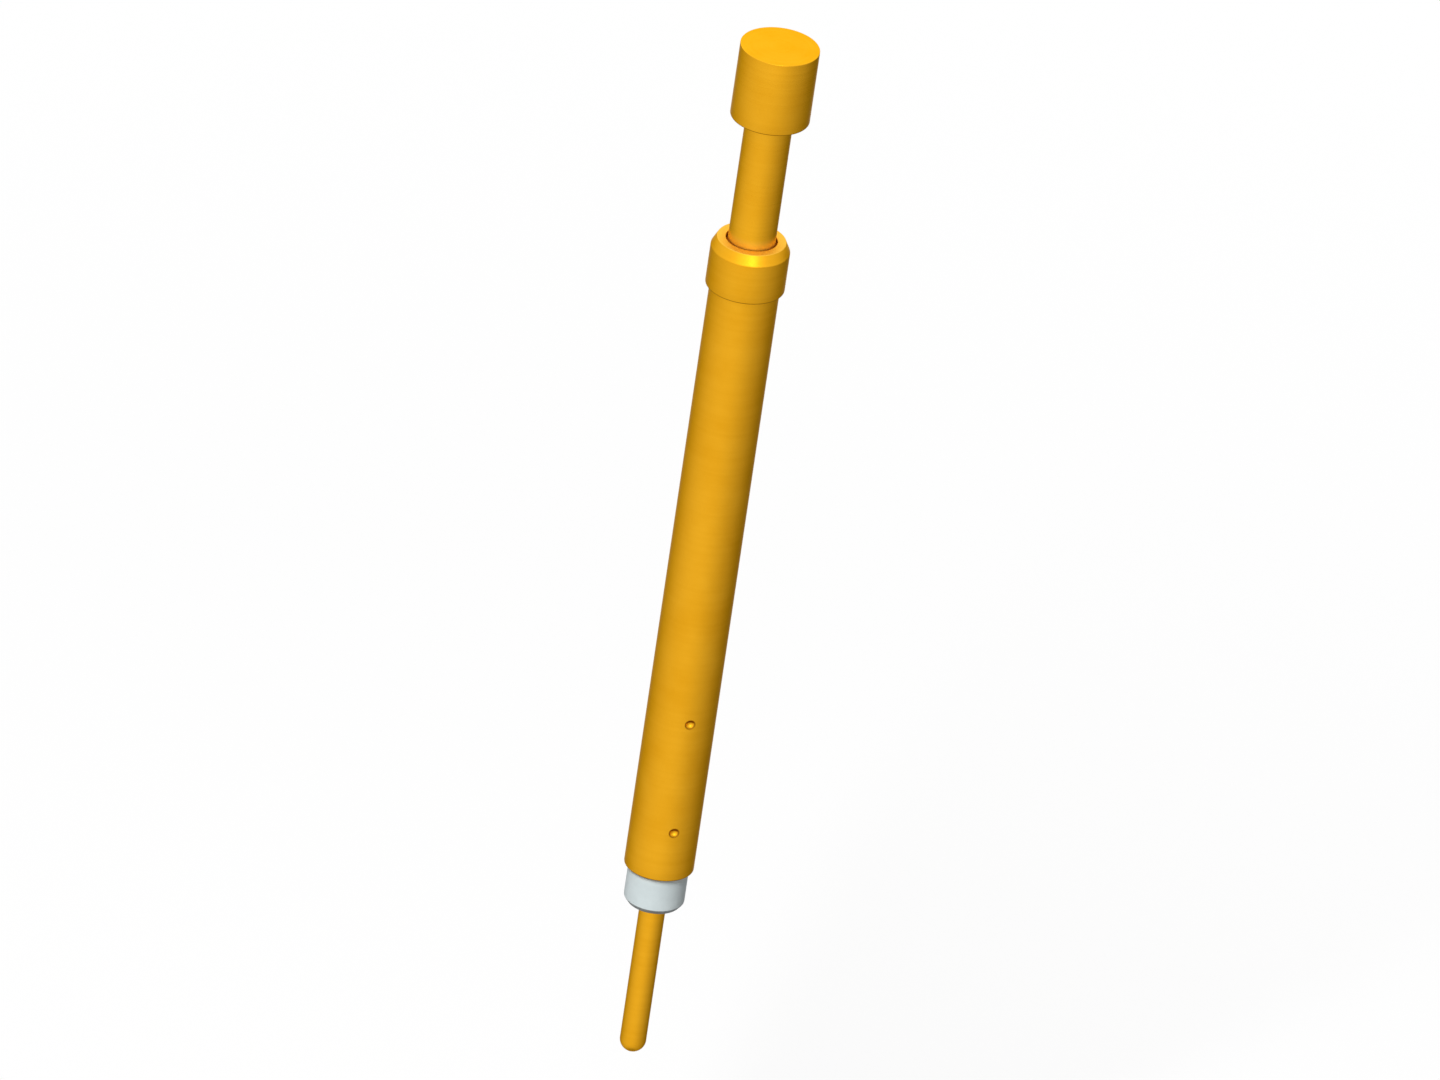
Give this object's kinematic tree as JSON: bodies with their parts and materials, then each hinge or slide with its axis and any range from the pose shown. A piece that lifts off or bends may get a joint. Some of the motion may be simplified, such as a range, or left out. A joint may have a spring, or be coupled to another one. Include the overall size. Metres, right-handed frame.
{
  "type": "pogo pin",
  "caption": "Switching pogo pin: flat-headed sprung plunger in a collared gold barrel, with a white insulator and an insulated round-nosed tail pin.",
  "frame": {"origin": "on the pin's axis at the collar's underside, the face that stops the pin in its socket", "axes": "+Z along the pin towards the plunger's head; +X and +Y across it, with one column of punch marks on the -Y side"},
  "size_m": [0.003, 0.003, 0.0433],
  "materials": {
    "gold_plating": "satin gold plating over turned brass",
    "plunger_plating": "smooth gold plating over turned beryllium copper",
    "spring_wire": "drawn spring steel wire",
    "insulator_plastic": "matt white engineering plastic"
  },
  "bodies": {
    "barrel": {"barrel": "gold_plating", "insulator": "insulator_plastic", "terminal": "gold_plating", "main_spring": "spring_wire", "contact_spring": "spring_wire"},
    "plunger": {"plunger": "plunger_plating"},
    "switch_contact": {"switch_contact": "plunger_plating"}
  },
  "joints": [
    {"name": "plunger_slide", "type": "slide", "parent": "barrel", "child": "plunger", "axis": [0, 0, -1], "range_m": [0, 0.005], "stiffness_N_per_m": 330, "springref_m": -0.002, "deforming": ["main_spring"]},
    {"name": "contact_slide", "type": "slide", "parent": "barrel", "child": "switch_contact", "axis": [0, 0, -1], "range_m": [0, 0.003], "deforming": ["contact_spring"]}
  ],
  "couplings": [
    {"joint": "contact_slide", "follows": "plunger_slide", "ratio": 0.6}
  ]
}
